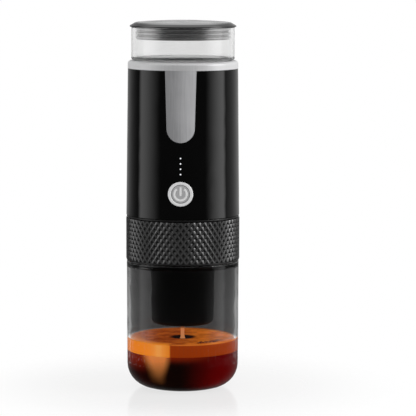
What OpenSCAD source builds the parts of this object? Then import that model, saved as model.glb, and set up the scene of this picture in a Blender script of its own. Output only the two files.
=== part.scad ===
// Portable espresso maker: a cordless pump machine that stands on its own cup.
// The axis is Z, the underside of the cup is z = 0 and the front faces -Y. Sizes are in millimetres.

/* [Fits] */
// Radial clearance between pieces that turn or slide in each other
slip = 0.3; // [0.2:0.05:0.4]
// Radial clearance between pieces that are fixed in each other
seat = 0.1; // [0.05:0.05:0.2]
// Gap between two faces that press on each other
face_gap = 0.05; // [0.02:0.01:0.1]
// Open line between the cup's shoulder and the ring above it
part_line = 0.4; // [0.2:0.1:0.8]
// Open line between the grip ring and the brew head's rim above it
twist_gap = 0.4; // [0.3:0.05:0.8]

/* [Cup] */
// Height of the cup from its base to its shoulder
cup_h = 83.2; // [76:0.1:90]
// How far the cup's shoulder stands back from the grip
cup_inset = 0.3; // [0.1:0.1:1]
// Draft of the cup, taken off its radius at the base
cup_draft = 0.4; // [0.1:0.1:1]
// Radius of the corner between the cup's wall and its base
cup_corner_r = 15.5; // [12:0.5:18]
// Wall of the cup
cup_wall = 2.2; // [1.8:0.1:2.8]
// Floor of the cup
cup_floor = 3; // [2.4:0.1:4]
// Height of the neck that enters the ring
cup_neck_h = 8; // [6:0.5:9]
// Wall of the cup's neck
cup_neck_wall = 2; // [1.6:0.1:2.4]

/* [Grip ring] */
// Height of the textured grip band
grip_h = 26.8; // [24:0.1:32]
// Outer radius of the grip band, over its ridges: the other rings take their size from it
grip_r = 36.8; // [34:0.1:40]
// Thickness of the grip band, over its ridges
grip_wall = 1.8; // [1.5:0.1:2.2]
// Depth of the diamond pits
grip_depth = 0.7; // [0.4:0.1:0.9]
// Number of diamonds round the band
grip_columns = 60; // [40:2:72]
// Number of diamonds up the band
grip_rows = 5; // [3:1:7]
// Height of the plain lip under the band
ring_lip_h = 0.8; // [0.6:0.1:1.4]
// How far the lip stands back from the ridges
ring_lip_inset = 0.2; // [0:0.1:0.5]
// Wall of the ring that carries the band
ring_wall = 2.2; // [1.8:0.1:2.6]

/* [Brew chamber] */
// Thickness of the web that joins the ring to the barrel
web_t = 3; // [2.4:0.1:4]
// Wall of the barrel that holds the basket
barrel_wall = 2.3; // [2:0.1:3]
// How far the barrel hangs below the ring
barrel_drop = 41.8; // [36:0.1:44]
// Draft of the barrel, taken off its radius at the foot
barrel_draft = 0.6; // [0.2:0.1:1]
// Radius of the barrel's lower edge
barrel_corner_r = 3; // [1.5:0.5:4]
// Radius of the hole that the coffee leaves by
spout_r = 2; // [1.5:0.1:3]
// Length of that hole
spout_h = 4; // [3:0.5:6]
// Thickness of the seal over the cup's neck
cup_seal_t = 1.6; // [1.2:0.1:2]

/* [Coffee basket] */
// Outer radius of the basket
basket_r = 18.2; // [16.5:0.1:19]
// Depth of the basket below its rim
basket_h = 31; // [26:0.5:34]
// Sheet thickness of the basket
basket_t = 0.8; // [0.6:0.1:1]
// Width of the basket's rim
basket_rim_w = 3.6; // [3:0.1:5]
// Width of the step under the basket in the barrel
basket_ledge = 2; // [1.5:0.1:3]
// Radius of a drain hole in the basket's floor
drain_r = 0.8; // [0.5:0.1:1]
// Distance between drain holes
drain_pitch = 5.2; // [4:0.1:6.5]
// Thickness of the screen
screen_t = 0.5; // [0.3:0.1:0.8]
// Radius of a hole in either screen
screen_hole_r = 0.55; // [0.4:0.05:0.8]
// Distance between holes in either screen
screen_pitch = 3.2; // [2.8:0.1:3.4]
// Rings of holes round the middle one
screen_rings = 4; // [2:1:4]

/* [Brew head] */
// Thickness of the silicone seal under the brew head
brew_seal_t = 2; // [1.5:0.1:2.5]
// Wall of the brew head's neck
head_wall = 2.4; // [2:0.1:3]
// Floor of the brew head
head_floor = 3.2; // [3:0.1:4]
// Height of the brew head's rim, which closes the sleeve from below
head_rim_h = 1.2; // [0.8:0.1:2]
// How far that rim stands back from the sleeve
head_rim_inset = 0.3; // [0.1:0.1:0.8]
// Thickness of the brew head's flange
head_flange_t = 3; // [2.4:0.1:4]
// Radius of the shower screen
shower_r = 16; // [14.5:0.1:16.5]
// Depth of the recess for the shower screen
shower_recess = 1.6; // [1.4:0.1:1.8]
// Radius of a screw's shank
screw_r = 1.5; // [1.2:0.1:1.7]
// Radius of a screw's head
screw_head_r = 2.8; // [2.4:0.1:3]
// Height of a screw's head
screw_head_h = 1.5; // [1.2:0.1:1.8]
// Length of a screw's shank
screw_len = 9; // [7:0.5:12]

/* [Sleeve] */
// Height of the gloss sleeve
sleeve_h = 94.8; // [84:0.1:106]
// How far the sleeve's foot stands back from the grip
sleeve_inset = 0.05; // [0:0.05:0.5]
// Draft of the sleeve, taken off its radius at the top
sleeve_draft = 1.05; // [0.2:0.05:2]
// Wall of the sleeve
sleeve_wall = 2; // [1.8:0.1:2.2]
// Bevel along the sleeve's lower edge
sleeve_bevel = 0.4; // [0.2:0.1:0.6]

/* [Collar] */
// Height of the silver collar above the sleeve
collar_h = 5.2; // [4.4:0.1:7]
// Radius of the collar's round shoulder
collar_round_r = 2.2; // [1.4:0.1:2.6]
// How far the collar's skirt reaches into the sleeve
collar_skirt_h = 2.6; // [2:0.1:3]
// Thickness of the tongue on the front
tongue_t = 1; // [0.7:0.1:1.2]
// Distance from the top light up to the tongue's end
tongue_gap = 9.8; // [5:0.1:20]
// Radius of the tongue's round end
tongue_end_r = 8.95; // [8:0.05:10]
// Angle by which each side of the tongue widens upwards
tongue_taper = 1.6; // [0.5:0.1:2.5]

/* [Water tank] */
// Height of the clear tank above the collar
tank_h = 21.1; // [19:0.1:26]
// How far the tank stands back from the collar
tank_inset = 2.3; // [2:0.1:3]
// Wall of the clear tank
tank_wall = 2.3; // [2:0.1:2.6]
// Wall of the tank's threaded neck
tank_neck_wall = 2.3; // [2:0.1:2.6]
// Step from the tank's wall in to its neck
tank_step = 2.4; // [2.2:0.1:2.8]
// Thickness of the shoulder between the tank's wall and its neck
tank_shoulder_t = 1.3; // [1:0.1:3.2]
// Thickness of the seal under the tank
tank_seal_t = 1.8; // [1.4:0.1:2.2]

/* [Heating cup] */
// Depth of the steel heating cup
heat_cup_h = 20; // [16:0.5:21]
// Sheet thickness of the heating cup
heat_cup_t = 1; // [0.8:0.1:1.2]
// Width of the heating cup's rim
heat_rim_w = 3.6; // [3.2:0.1:4]
// Thickness of the heater under the cup
heater_t = 2.5; // [2:0.1:3]
// Outer radius of the outlet under the cup
outlet_r = 2.6; // [2.4:0.1:3]
// Bore of the outlet under the cup
outlet_bore_r = 1.8; // [1.4:0.1:2]
// Radius of the thermostat
thermostat_r = 5; // [4:0.5:6]
// Height of the thermostat
thermostat_h = 3.2; // [2.6:0.1:3.6]
// Wall of the carrier round the heating cup
carrier_wall = 2.6; // [2:0.1:2.8]
// Room between the chassis and the heater
heater_room = 7.65; // [6:0.05:14]

/* [Lid] */
// How far the lid's brim stands out over the tank
lid_overhang = 0.95; // [0.4:0.05:1.5]
// Thickness of the brim at its tip
lid_brim_t = 0.8; // [0.6:0.1:1.2]
// Height of the lid above the tank
lid_h = 4.2; // [3.4:0.1:5.4]
// How far the middle of the lid's top rises over its edge
lid_dome = 1.3; // [0.2:0.1:1.6]
// Width of the sloping edge between the brim and the top
lid_edge_w = 3.6; // [2.5:0.1:5]
// Thickness of the lid's top
lid_top_t = 1.6; // [1.2:0.1:2]
// Depth of the plug below the brim
lid_plug_h = 7.9; // [6:0.1:9]
// Wall of the plug
lid_plug_wall = 2; // [1.6:0.1:2.4]
// Thickness of the seal on the plug, over its ribs
lid_seal_t = 1.8; // [1.4:0.1:2.2]
// Number of ribs on the seal
lid_seal_ribs = 3; // [2:1:4]
// Depth of the grooves between the ribs
lid_rib_depth = 0.8; // [0.5:0.1:1]

/* [Power button] */
// Height of the button's centre above the sleeve's foot
button_up = 16.7; // [14:0.1:22]
// Outer radius of the bezel
bezel_r = 8; // [7:0.1:8.5]
// Width of the bezel's face
bezel_w = 2; // [1.6:0.1:2.4]
// How far the bezel's face stands back from the sleeve's outermost line
bezel_back = 0.1; // [0.05:0.05:0.4]
// How far the cap stands back from the bezel
cap_back = 0.3; // [0.2:0.1:0.6]
// Thickness of the cap's retaining flange
cap_flange_t = 1; // [0.8:0.1:1.2]
// Travel of the button
button_travel = 0.8; // [0.4:0.1:1]

/* [Battery lights] */
// Number of lights
light_count = 4; // [3:1:5]
// Distance between lights
light_pitch = 3.4; // [3:0.1:4]
// Height of the lowest light above the button's centre
light_up = 12.6; // [11.5:0.1:14]
// Radius of a light
light_r = 0.75; // [0.6:0.05:0.9]

/* [Charging port] */
// Height of the port above the sleeve's foot
port_up = 16.7; // [14:0.1:24]
// Width of the port's cover
cover_w = 14; // [12:0.5:16]
// Height of the port's cover
cover_h = 9; // [8:0.5:10]
// Corner radius of the port's cover
cover_corner_r = 3; // [2:0.5:3.5]
// Thickness of the port's cover
cover_t = 1.1; // [0.9:0.1:1.2]
// Radius of the bead that the cover hinges on
bead_r = 0.6; // [0.5:0.05:0.7]
// Length of the bead that the cover hinges on
bead_len = 10.4; // [6:0.2:11]
// Width of the socket's shell
socket_w = 9; // [8.6:0.1:9.4]
// Height of the socket's shell
socket_h = 3.3; // [3:0.1:3.6]
// Length of the socket's shell
socket_len = 7.4; // [6.5:0.1:8]
// Sheet thickness of the socket's shell
socket_t = 0.3; // [0.25:0.05:0.4]

/* [Battery and boards] */
// Gap between a cell and the brew head's wall
cell_gap = 1.3; // [0.5:0.1:2]
// Depth of the pockets that hold the cells' ends
cell_pocket = 1; // [0.6:0.1:1.4]
// Thickness of the chassis plates
plate_t = 3; // [2.6:0.1:3.6]
// Radius of the chassis posts
post_r = 3.1; // [2.8:0.1:3.3]
// Gap between a post and the brew head's wall
post_gap = 1.1; // [0.6:0.1:1.6]
// Length of the feet under the lower plate
post_foot = 3; // [2:0.5:5]
// Thickness of a circuit board
board_t = 1.6; // [1.2:0.1:2]
// Width of the control board
board_w = 26; // [22:0.5:27]
// Width of the charging board
charge_w = 18; // [16:0.5:20]
// Side of the push switch
switch_side = 6.2; // [5:0.1:7]
// Depth of the push switch
switch_depth = 3; // [2.6:0.1:3.4]
// Gap between the button and the push switch, which its plunger bridges
switch_gap = 3.2; // [2:0.1:4]
// Radius of the push switch's plunger
switch_pin_r = 1.6; // [1.2:0.1:2]

/* [Pump] */
// Outer radius of the pump, which the two cells stand beside
pump_r = 10.2; // [9.5:0.1:11]
// Sheet thickness of the pump's steel frame
pump_frame_t = 0.9; // [0.7:0.1:1.2]
// Bore of the pump's cylinder
pump_bore_r = 4; // [3.5:0.1:4.5]
// Wall of the pump's cylinder
pump_cylinder_wall = 1.2; // [1:0.1:1.5]
// Height of the pump's lower end
pump_base_h = 14.5; // [13:0.5:17]
// Room over the pump for the hose's end
hose_room = 6.1; // [5:0.1:8]
// Height of the pump's upper end
pump_top_h = 6; // [5:0.5:7]
// Length of the plunger
plunger_len = 18; // [14:0.5:20]
// Stroke of the plunger to either side of its middle
plunger_stroke = 1.5; // [1:0.1:2]
// Wire radius of the springs
wire_r = 0.4; // [0.3:0.05:0.5]
// Turns of the plunger's spring
plunger_turns = 6; // [4:1:8]
// Radius of the check valve's ball
ball_r = 2.4; // [2.2:0.1:2.6]
// Lift of the check valve's ball
ball_lift = 1; // [0.6:0.1:1.2]
// Turns of the check valve's spring
valve_turns = 3; // [2:1:4]
// Length of the barbs that the hose is pushed on
barb_len = 4.6; // [4:0.1:5]
// Wall of the hose
hose_wall = 1.5; // [1.2:0.1:1.8]

/* [Hidden] */
$fn = 96;
eps = 0.01;
far = 100;
fillet_steps = 8;
dome_steps = 6;
tongue_steps = 24;

// Small fixed sizes inside the pump, the button, the lights and the port
cylinder_inset = 3;
plunger_hole_r = 1.6;
valve_floor = 1.5;
valve_plate = 1;
valve_port_r = 1.4;
outlet_bite = 1.2;
outlet_seal_wall = 1;
hose_end_gap = 0.4;
bezel_lip = 1.4;
bezel_flange_t = 1.2;
switch_pin_depth = 2.4;
guide_bar_gap = 0.5;
guide_bar_w = 5;
guide_bar_t = 1.8;
guide_margin = 2.2;
guide_leg_r = 0.7;
guide_leg_inset = 0.1;
guide_leg_x = 1.2;
chip_size = [1.6, 0.7, 0.8];
cover_gap = 0.3;
cover_lip = 0.9;
board_slot = 0.2;

// Heights up the axis, from the base of the cup
cup_neck_z = cup_h + cup_neck_h;
web_z0 = cup_neck_z + face_gap + cup_seal_t;
web_z1 = web_z0 + web_t;
ring_z0 = cup_h + part_line;
band_z0 = ring_z0 + ring_lip_h;
ring_z1 = band_z0 + grip_h;
barrel_z0 = ring_z0 - barrel_drop;
basket_rim_z1 = web_z1 + basket_t;
basket_z0 = web_z1 - basket_h;
brew_seal_z0 = basket_rim_z1 + face_gap;
head_z0 = brew_seal_z0 + brew_seal_t + face_gap;
head_floor_z1 = head_z0 + head_floor;
head_rim_z0 = ring_z1 + twist_gap;
head_rim_z1 = head_rim_z0 + head_rim_h;
sleeve_z0 = head_rim_z1 + face_gap;
sleeve_z1 = sleeve_z0 + sleeve_h;
low_plate_z0 = head_floor_z1 + post_foot;
low_plate_z1 = low_plate_z0 + plate_t;
cell_z0 = low_plate_z1 - cell_pocket;
heat_rim_z1 = sleeve_z1 - collar_skirt_h - face_gap;
heat_rim_z0 = heat_rim_z1 - heat_cup_t;
heat_floor_z0 = heat_rim_z1 - heat_cup_h - heat_cup_t;
heater_z0 = heat_floor_z0 - face_gap - heater_t;
high_plate_z1 = heater_z0 - heater_room;
high_plate_z0 = high_plate_z1 - plate_t;
cell_len = high_plate_z0 + cell_pocket - seat - cell_z0;
tank_seal_z1 = heat_rim_z1 + face_gap + tank_seal_t;
tank_neck_z0 = tank_seal_z1 + face_gap;
collar_z1 = sleeve_z1 + collar_h;
tank_z0 = collar_z1 + part_line;
tank_z1 = tank_z0 + tank_h;
lid_z0 = tank_z1 + face_gap;
lid_z1 = lid_z0 + lid_h;
lid_plug_z0 = lid_z0 - lid_plug_h;
button_z = sleeve_z0 + button_up;
port_z = sleeve_z0 + port_up;
bead_z = port_z + cover_h / 2;
first_light_z = button_z + light_up;
tongue_z0 = first_light_z + (light_count - 1) * light_pitch + tongue_gap;

// Radii that follow from what fits in what
cup_top_r = grip_r - cup_inset;
cup_low_r = cup_top_r - cup_draft;
sleeve_low_r = grip_r - sleeve_inset;
sleeve_top_r = sleeve_low_r - sleeve_draft;
tank_r = sleeve_top_r - tank_inset;
lid_r = tank_r + lid_overhang;
ring_r = grip_r - grip_wall - seat;
socket_r = ring_r - ring_wall;
neck_r = socket_r - slip;
barrel_bore_r = basket_r + slip;
barrel_r = barrel_bore_r + barrel_wall;
basket_in_r = basket_r - basket_t;
basket_rim_r = basket_r + basket_rim_w;
head_in_r = neck_r - head_wall;
screw_circle_r = head_in_r - post_gap - post_r;
tank_in_r = tank_r - tank_wall;
tank_neck_r = tank_r - tank_step;
tank_neck_in_r = tank_neck_r - tank_neck_wall;
collar_bore_r = tank_neck_r + slip;
heat_cup_in_r = tank_neck_in_r - slip;
heat_cup_r = heat_cup_in_r + heat_cup_t;
heat_rim_r = heat_cup_r + heat_rim_w;
carrier_r = heat_cup_r + seat + carrier_wall;
lid_seal_r = tank_in_r - slip;
lid_plug_r = lid_seal_r - lid_seal_t;
cell_r = (head_in_r - cell_gap - pump_r - seat) / 2;
cell_x = pump_r + seat + cell_r;

// Pump, from its foot on the lower plate to its inlet
pump_z0 = low_plate_z1;
pump_coil_z0 = pump_z0 + pump_base_h;
pump_coil_z1 = high_plate_z0 - hose_room - pump_top_h;
coil_h = pump_coil_z1 - pump_coil_z0;
pump_top_z1 = pump_coil_z1 + pump_top_h;
pump_cylinder_r = pump_bore_r + pump_cylinder_wall;
pump_cylinder_z0 = pump_coil_z0 - cylinder_inset;
pump_cylinder_z1 = pump_coil_z1 + cylinder_inset;
plunger_z0 = pump_coil_z0 + (coil_h - plunger_len) / 2;
valve_room_z0 = pump_z0 + valve_floor;
valve_room_r = ball_r + slip;
ball_z = pump_cylinder_z0 - valve_plate - ball_r - face_gap;
outlet_z0 = head_floor_z1 - outlet_bite;
outlet_seal_r = outlet_r + outlet_seal_wall;
hose_r = outlet_r + seat + hose_wall;
hose_z0 = pump_top_z1 + face_gap;
hose_z1 = heater_z0 - hose_end_gap;
heat_outlet_z0 = hose_z1 - barb_len;

// Depths behind the front of the sleeve, as distances from the axis
bezel_y = sleeve_r(button_z) - bezel_back;
bezel_flange_r = bezel_r + bezel_lip;
bezel_flange_y = chord(narrowest(button_z, bezel_flange_r), bezel_flange_r) - face_gap;
bezel_in_y = bezel_flange_y - bezel_flange_t;
cap_r = bezel_r - bezel_w - slip;
cap_y = bezel_y - cap_back;
cap_flange_y = bezel_in_y - slip;
cap_in_y = cap_flange_y - cap_flange_t;
switch_y = cap_in_y - switch_gap;
board_y = switch_y - switch_depth;
guide_bar_y = chord(narrowest(first_light_z, light_count * light_pitch), guide_bar_w / 2) - guide_bar_gap;
socket_y = board_y + socket_len;
board_top_z = high_plate_z0 + plate_t / 2;

// Outer radius of the sleeve at a height
function sleeve_r(z) = sleeve_low_r + (sleeve_top_r - sleeve_low_r) * (z - sleeve_z0) / sleeve_h;
function sleeve_in_r(z) = sleeve_r(z) - sleeve_wall;
// Least inner radius of the sleeve within a reach of a height
function narrowest(z, reach) = min(sleeve_in_r(z - reach), sleeve_in_r(z + reach));
// Distance from the axis to a circle of radius r, at x from its middle
function chord(r, x) = sqrt(r * r - x * x);
function unit(v) = v / norm(v);
// Arc that rounds the corner b between a and c
function corner(a, b, c, r) = let(
        u = unit(a - b),
        v = unit(c - b),
        half = acos(u * v) / 2,
        middle = b + unit(u + v) * r / sin(half),
        p = b + u * r / tan(half) - middle,
        q = b + v * r / tan(half) - middle,
        start = atan2(p.y, p.x),
        turn = (atan2(q.y, q.x) - start + 540) % 360 - 180
    ) [for (i = [0:fillet_steps]) middle + r * [cos(start + turn * i / fillet_steps), sin(start + turn * i / fillet_steps)]];
// Outline through points [r, z, corner radius], with its corners rounded
function rounded(points) = let(n = len(points)) [
    for (i = [0:n - 1])
        let(a = points[(i + n - 1) % n], b = points[i], c = points[(i + 1) % n])
            each b.z > 0
                ? corner([a.x, a.y], [b.x, b.y], [c.x, c.y], b.z)
                : [[b.x, b.y]]
];

module turned(points) {
    rotate_extrude() polygon(rounded(points));
}

module tube(r, bore, z0, z1) {
    difference() {
        translate([0, 0, z0]) cylinder(r = r, h = z1 - z0);
        translate([0, 0, z0 - eps]) cylinder(r = bore, h = z1 - z0 + 2 * eps);
    }
}

module disc(r, z0, z1) {
    translate([0, 0, z0]) cylinder(r = r, h = z1 - z0);
}

// Round rod along Y between two distances in front of the axis
module front_rod(r, x, z, y0, y1) {
    translate([x, -y0, z]) rotate([90, 0, 0]) cylinder(r = r, h = y1 - y0);
}

// Turned form about an axis that points forwards, through points [r, distance from Z, corner radius]
module front_turned(z, points) {
    translate([0, 0, z]) rotate([90, 0, 0]) turned(points);
}

module box(x0, x1, y0, y1, z0, z1) {
    translate([x0, y0, z0]) cube([x1 - x0, y1 - y0, z1 - z0]);
}

// Rectangle with round corners, centred
module round_rectangle(w, h, r) {
    square([w - 2 * r, h], center = true);
    square([w, h - 2 * r], center = true);
    for (x = [-1, 1], y = [-1, 1])
        translate([x * (w / 2 - r), y * (h / 2 - r)]) circle(r = r);
}

// Four posts stand at the corners between the cells and the boards
module at_posts() {
    for (a = [45:90:315])
        rotate(a) translate([screw_circle_r, 0, 0]) children();
}

// Holes of a screen: a middle one and rings of six more each
module screen_holes(z0, z1) {
    for (k = [0:screen_rings], i = [0:max(6 * k, 1) - 1])
        rotate(i * 360 / max(6 * k, 1))
            translate([k * screen_pitch, 0, 0]) disc(screen_hole_r, z0 - eps, z1 + eps);
}

// Round wire swept along a coil, its ends cut square
module coil(r, turns, z0, z1) {
    sides = 6;
    steps = 12 * turns;
    rise = z1 - z0 - 2 * wire_r;
    points = [
        for (i = [0:steps], s = [0:sides - 1])
            let(a = 360 * turns * i / steps, b = 360 * s / sides, q = r + wire_r * cos(b))
                [q * cos(a), q * sin(a), z0 + wire_r + rise * i / steps + wire_r * sin(b)]
    ];
    last = steps * sides;
    faces = [
        for (i = [0:steps - 1], s = [0:sides - 1])
            let(a = i * sides + s, b = i * sides + (s + 1) % sides)
                each [[a, b, a + sides], [b, b + sides, a + sides]],
        for (s = [1:sides - 2])
            each [[0, s + 1, s], [last, last + s, last + s + 1]]
    ];
    echo("least gap between turns", rise / turns - 2 * wire_r);
    polyhedron(points, faces);
}

module lid_cap() {
    top_r = lid_r - lid_edge_w;
    edge_z = lid_z1 - lid_dome;
    color("dimgray") turned([
        [0, edge_z - lid_top_t, 0],
        [lid_plug_r - lid_plug_wall, edge_z - lid_top_t, 0],
        [lid_plug_r - lid_plug_wall, lid_plug_z0, 0],
        [lid_plug_r, lid_plug_z0, 0.4],
        [lid_plug_r, lid_z0, 0],
        [lid_r, lid_z0, 0.2],
        [lid_r, lid_z0 + lid_brim_t, 0.3],
        [top_r, edge_z, 3],
        for (i = [dome_steps - 1:-1:0])
            [top_r * i / dome_steps, lid_z1 - lid_dome * pow(i / dome_steps, 2), 0]
    ]);
}

// Sleeve of silicone round the lid's plug, with ribs that touch the tank
module lid_seal() {
    pitch = (lid_plug_h - 2 * face_gap) / lid_seal_ribs;
    bore = lid_plug_r + seat;
    color("gray") rotate_extrude() difference() {
        translate([bore, lid_plug_z0 + face_gap])
            square([lid_seal_r - bore, lid_plug_h - 2 * face_gap]);
        for (i = [0:lid_seal_ribs])
            translate([lid_seal_r, lid_plug_z0 + face_gap + i * pitch]) circle(r = lid_rib_depth);
    }
}

module water_tank() {
    color([0.9, 0.92, 0.93, 0.4]) turned([
        [tank_neck_in_r, tank_neck_z0, 0.4],
        [tank_neck_r, tank_neck_z0, 0.6],
        [tank_neck_r, tank_z0, 0],
        [tank_r, tank_z0, 1.4],
        [tank_r, tank_z1, 0.5],
        [tank_in_r, tank_z1, 0.5],
        [tank_in_r, tank_z0 + tank_shoulder_t, 1],
        [tank_neck_in_r, tank_z0 + tank_shoulder_t, 0.8]
    ]);
}

module tank_seal() {
    color("lightgray")
        tube(tank_neck_r - slip, heat_cup_in_r + slip, heat_rim_z1 + face_gap, tank_seal_z1);
}

// Outline of the tongue as seen from the front, grown by a gap
function tongue_outline(gap) = let(
        r = tongue_end_r + gap,
        middle = tongue_z0 + tongue_end_r,
        top = sleeve_z1 + 1,
        wide = (r + (top - middle) * sin(tongue_taper)) / cos(tongue_taper),
        sweep = 180 - 2 * tongue_taper
    ) [
        [wide, top],
        [-wide, top],
        for (i = [0:tongue_steps])
            let(a = 180 + tongue_taper + sweep * i / tongue_steps)
                [r * cos(a), middle + r * sin(a)]
    ];

// Layer of the sleeve's front, from its outer face to a depth, under the tongue's outline
module tongue_layer(depth, gap, proud) {
    over = sleeve_z1 + 1;
    intersection() {
        rotate([90, 0, 0]) linear_extrude(far) polygon(tongue_outline(gap));
        rotate_extrude() polygon([
            [sleeve_r(sleeve_z0) - depth, sleeve_z0],
            [sleeve_r(sleeve_z0) + proud, sleeve_z0],
            [sleeve_r(over) + proud, over],
            [sleeve_r(over) - depth, over]
        ]);
    }
}

module collar() {
    skirt_r = sleeve_in_r(sleeve_z1) - seat;
    color("silver") {
        turned([
            [collar_bore_r, sleeve_z1 - collar_skirt_h, 0],
            [skirt_r, sleeve_z1 - collar_skirt_h, 0.3],
            [skirt_r, sleeve_z1, 0],
            [sleeve_top_r, sleeve_z1, 0],
            [sleeve_top_r, collar_z1, collar_round_r],
            [collar_bore_r, collar_z1, 0.3]
        ]);
        tongue_layer(tongue_t, 0, -face_gap);
    }
}

module outer_sleeve() {
    color([0.05, 0.05, 0.05]) difference() {
        rotate_extrude() polygon([
            [sleeve_in_r(sleeve_z0), sleeve_z0],
            [sleeve_low_r - sleeve_bevel, sleeve_z0],
            [sleeve_r(sleeve_z0 + sleeve_bevel), sleeve_z0 + sleeve_bevel],
            [sleeve_top_r, sleeve_z1],
            [sleeve_in_r(sleeve_z1), sleeve_z1]
        ]);
        tongue_layer(tongue_t + seat, seat, 1);
        front_rod(bezel_r + seat, 0, button_z, sleeve_in_r(sleeve_z1) - bezel_lip * 2, far);
        for (i = [0:light_count - 1])
            front_rod(light_r + seat, 0, first_light_z + i * light_pitch, board_y, far);
        cover_layer(cover_t + face_gap, cover_gap, 1);
        hinge_rod(bead_r + cover_gap, bead_len + 2 * cover_gap);
        translate([0, 0, port_z]) rotate([-90, 0, 0]) linear_extrude(far)
            round_rectangle(cover_w - 2 * cover_lip, cover_h - 2 * cover_lip, cover_corner_r - cover_lip);
    }
}

// Layer of the sleeve's back, from its outer face to a depth, under the port cover's outline
module cover_layer(depth, gap, proud) {
    intersection() {
        translate([0, 0, port_z]) rotate([-90, 0, 0]) linear_extrude(far)
            round_rectangle(cover_w + 2 * gap, cover_h + 2 * gap, cover_corner_r + gap);
        rotate_extrude() polygon([
            [sleeve_r(sleeve_z0) - depth, sleeve_z0],
            [sleeve_r(sleeve_z0) + proud, sleeve_z0],
            [sleeve_top_r + proud, sleeve_z1],
            [sleeve_top_r - depth, sleeve_z1]
        ]);
    }
}

// Rod along X on the hinge line of the port's cover
module hinge_rod(r, len) {
    translate([-len / 2, sleeve_r(bead_z) - cover_t / 2, bead_z]) rotate([0, 90, 0]) cylinder(r = r, h = len);
}

module port_cover() {
    color("black") {
        cover_layer(cover_t, 0, 0);
        hinge_rod(bead_r, bead_len);
    }
}

// Steel cup that the water is heated in, with its outlet underneath
module heating_cup() {
    color("lightsteelblue") difference() {
        union() {
            turned([
                [0, heat_floor_z0, 0],
                [heat_cup_r, heat_floor_z0, 3 + heat_cup_t],
                [heat_cup_r, heat_rim_z0, 0],
                [heat_rim_r, heat_rim_z0, 0],
                [heat_rim_r, heat_rim_z1, 0],
                [heat_cup_in_r, heat_rim_z1, 0.6],
                [heat_cup_in_r, heat_floor_z0 + heat_cup_t, 3],
                [0, heat_floor_z0 + heat_cup_t, 0]
            ]);
            disc(outlet_r, heat_outlet_z0, heat_floor_z0 + eps);
        }
        disc(outlet_bore_r, heat_outlet_z0 - eps, heat_rim_z1);
    }
}

module heater() {
    color("darkgray") tube(heat_cup_r - 3 - heat_cup_t, outlet_r + slip, heater_z0, heat_floor_z0 - face_gap);
}

module thermostat() {
    color("dimgray") translate([(outlet_r + hose_r + heat_cup_r) / 2, 0, 0])
        disc(thermostat_r, heater_z0 - face_gap - thermostat_h, heater_z0 - face_gap);
}

// Ring that stands on the chassis and holds up the heating cup's rim
module heater_carrier() {
    color("dimgray") tube(carrier_r, heat_cup_r + seat, high_plate_z1, heat_rim_z0 - face_gap);
}

module chassis() {
    low_r = head_in_r - slip;
    high_r = sleeve_in_r(high_plate_z1) - slip;
    color("dimgray") difference() {
        union() {
            disc(low_r, low_plate_z0, low_plate_z1);
            disc(high_r, high_plate_z0, high_plate_z1);
            at_posts() disc(post_r, head_floor_z1, high_plate_z0 + eps);
        }
        disc(outlet_seal_r + slip, low_plate_z0 - eps, low_plate_z1 + eps);
        disc(hose_r + slip, high_plate_z0 - eps, high_plate_z1 + eps);
        for (side = [-1, 1])
            translate([side * cell_x, 0, 0])
                disc(cell_r + seat, cell_z0, cell_z0 + cell_len + seat);
        board_room(board_w, -1);
        board_room(charge_w, 1);
        at_posts() disc(screw_r + face_gap, head_floor_z1 - eps, head_floor_z1 + screw_len);
    }
}

// Way for a board through both plates of the chassis, on the front (-1) or the back (1)
module board_room(w, side) {
    y0 = board_y - board_t - board_slot;
    y1 = board_y + board_slot;
    x = w / 2 + board_slot;
    box(-x, x, side > 0 ? y0 : -y1, side > 0 ? y1 : -y0, head_floor_z1, board_top_z + board_slot);
    box(-x, x, side > 0 ? y0 : -far, side > 0 ? far : -y0, low_plate_z0 - eps, low_plate_z1 + eps);
}

module cell(side) {
    cap_r = 3;
    color("steelblue") translate([side * cell_x, 0, 0]) {
        disc(cell_r, cell_z0 + face_gap, cell_z0 + cell_len - 1);
        disc(cap_r, cell_z0 + cell_len - 1 - eps, cell_z0 + cell_len);
    }
}

module left_cell() {
    cell(-1);
}

module right_cell() {
    cell(1);
}

module control_board() {
    color("darkgreen")
        box(-board_w / 2, board_w / 2, -board_y, board_t - board_y, head_floor_z1, board_top_z);
}

module charging_board() {
    color("darkgreen")
        box(-charge_w / 2, charge_w / 2, board_y - board_t, board_y, head_floor_z1, board_top_z);
}

// One small lamp behind each light
module light_chips() {
    color("white") for (i = [0:light_count - 1])
        translate([0, -board_y - chip_size.y / 2, first_light_z + i * light_pitch])
            cube(chip_size, center = true);
}

// Clear bar on two legs, with a pin for each light
module light_guide() {
    span = (light_count - 1) * light_pitch;
    leg_out = guide_margin - guide_leg_r - guide_leg_inset;
    color("white") {
        box(-guide_bar_w / 2, guide_bar_w / 2, -guide_bar_y, guide_bar_t - guide_bar_y,
            first_light_z - guide_margin, first_light_z + span + guide_margin);
        for (i = [0:light_count - 1])
            let(z = first_light_z + i * light_pitch)
                front_rod(light_r, 0, z, guide_bar_y - eps, sleeve_r(z) - face_gap);
        for (x = [-guide_leg_x, guide_leg_x], z = [first_light_z - leg_out, first_light_z + span + leg_out])
            front_rod(guide_leg_r, x, z, board_y, guide_bar_y - guide_bar_t + eps);
    }
}

module push_switch() {
    color("black") difference() {
        box(-switch_side / 2, switch_side / 2, -switch_y, -board_y,
            button_z - switch_side / 2, button_z + switch_side / 2);
        front_rod(switch_pin_r + seat, 0, button_z, switch_y - switch_pin_depth, far);
    }
}

module switch_plunger() {
    color("white")
        front_rod(switch_pin_r, 0, button_z, switch_y - switch_pin_depth + button_travel + face_gap, cap_in_y);
}

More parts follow.
